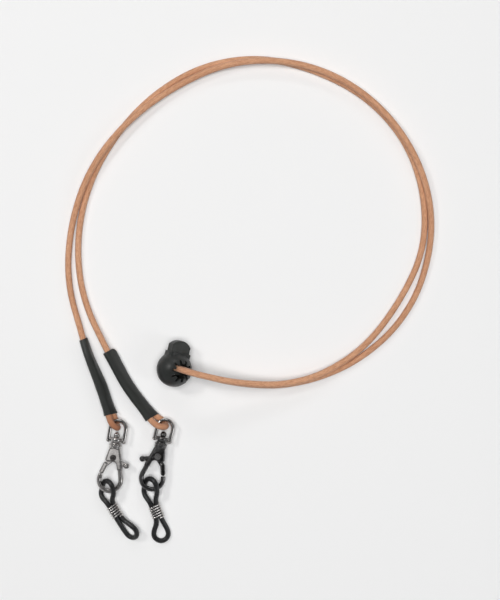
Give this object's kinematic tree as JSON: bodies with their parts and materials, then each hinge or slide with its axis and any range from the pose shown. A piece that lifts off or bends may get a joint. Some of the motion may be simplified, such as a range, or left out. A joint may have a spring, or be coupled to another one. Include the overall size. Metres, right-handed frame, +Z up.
{
  "type": "eyeglasses strap",
  "caption": "Round leather cord doubled through a ball cord lock, with a swivel clasp and a rubber temple loop on each end, to hang eyeglasses round the neck.",
  "frame": {"origin": "on the table, under the middle of the two clasps, their temple loops, the sleeves and the cord lock, leaving out the leather", "axes": "+Z up from the table, +Y from the temple loops towards the sleeves, +X from the left clasp to the right clasp"},
  "size_m": [0.1484, 0.1949, 0.0174],
  "materials": {
    "leather": "natural vegetable-tanned round cord, faint lengthwise grain",
    "shrink_sleeve": "satin black heat-shrink tube",
    "lock_plastic": "moulded black, fine satin",
    "spring_steel": "drawn spring wire",
    "gunmetal": "black nickel plating, polished",
    "black_rubber": "smooth satin rubber",
    "coil_steel": "dark nickel wire"
  },
  "bodies": {
    "strap": {"cord_left": "leather", "cord_right": "leather", "cord_bight": "leather", "sleeve_left": "shrink_sleeve", "sleeve_right": "shrink_sleeve", "lock_body": "lock_plastic", "lock_spring": "spring_steel"},
    "plunger": {"lock_plunger": "lock_plastic"},
    "eye_left": {"bail_left": "gunmetal"},
    "clasp_left": {"clasp_body_left": "gunmetal", "swivel_post_left": "gunmetal", "lever_pin_left": "gunmetal", "lever_spring_left": "spring_steel"},
    "lever_left": {"trigger_lever_left": "gunmetal"},
    "loop_left": {"rubber_loop_left": "black_rubber"},
    "coil_left": {"loop_coil_left": "coil_steel"},
    "eye_right": {"bail_right": "gunmetal"},
    "clasp_right": {"clasp_body_right": "gunmetal", "swivel_post_right": "gunmetal", "lever_pin_right": "gunmetal", "lever_spring_right": "spring_steel"},
    "lever_right": {"trigger_lever_right": "gunmetal"},
    "loop_right": {"rubber_loop_right": "black_rubber"},
    "coil_right": {"loop_coil_right": "coil_steel"}
  },
  "joints": [
    {"name": "plunger_press", "type": "slide", "parent": "strap", "child": "plunger", "axis": [-0.225, -0.9744, 0], "range_m": [0, 0.0025], "stiffness_N_per_m": 1200, "springref_m": -0.001, "deforming": ["lock_spring"]},
    {"name": "eye_left_swing", "type": "hinge", "parent": "strap", "child": "eye_left", "pos_m": [-0.0083, 0.0076, 0.00355], "axis": [-0.8387, -0.5446, 0], "range_deg": [-90, 90]},
    {"name": "clasp_left_swivel", "type": "hinge", "parent": "eye_left", "child": "clasp_left", "pos_m": [-0.0084, -0.0065, 0.00355], "axis": [0.1564, 0.9877, 0], "continuous": true},
    {"name": "lever_left_open", "type": "hinge", "parent": "clasp_left", "child": "lever_left", "pos_m": [-0.0084, -0.0065, 0.00355], "axis": [0, 0, 1], "range_deg": [0, 14], "stiffness_Nm_per_rad": 0.02, "springref_deg": -20.05, "deforming": ["lever_spring_left"]},
    {"name": "loop_left_swing", "type": "hinge", "parent": "clasp_left", "child": "loop_left", "pos_m": [-0.0116, -0.0195, 0.00355], "axis": [-0.9112, 0.4121, 0], "range_deg": [-90, 90]},
    {"name": "coil_left_slide", "type": "slide", "parent": "loop_left", "child": "coil_left", "axis": [0.5009, -0.8647, -0.0379], "range_m": [-0.001, 0.004], "deforming": ["rubber_loop_left"]},
    {"name": "eye_right_swing", "type": "hinge", "parent": "strap", "child": "eye_right", "pos_m": [0.0099, 0.0075, 0.00355], "axis": [-0.6884, -0.7254, 0], "range_deg": [-45, 35]},
    {"name": "clasp_right_swivel", "type": "hinge", "parent": "eye_right", "child": "clasp_right", "pos_m": [0.0093, -0.006, 0.00355], "axis": [0.2504, 0.9681, 0], "range_deg": [-120, 120]},
    {"name": "lever_right_open", "type": "hinge", "parent": "clasp_right", "child": "lever_right", "pos_m": [0.0093, -0.006, 0.00355], "axis": [0, 0, -1], "range_deg": [0, 14], "stiffness_Nm_per_rad": 0.02, "springref_deg": -20.05, "deforming": ["lever_spring_right"]},
    {"name": "loop_right_swing", "type": "hinge", "parent": "clasp_right", "child": "loop_right", "pos_m": [0.0053, -0.0188, 0.00355], "axis": [-0.9212, 0.3892, 0], "range_deg": [-90, 90]},
    {"name": "coil_right_slide", "type": "slide", "parent": "loop_right", "child": "coil_right", "axis": [0.3424, -0.9354, -0.0882], "range_m": [-0.001, 0.004], "deforming": ["rubber_loop_right"]}
  ]
}
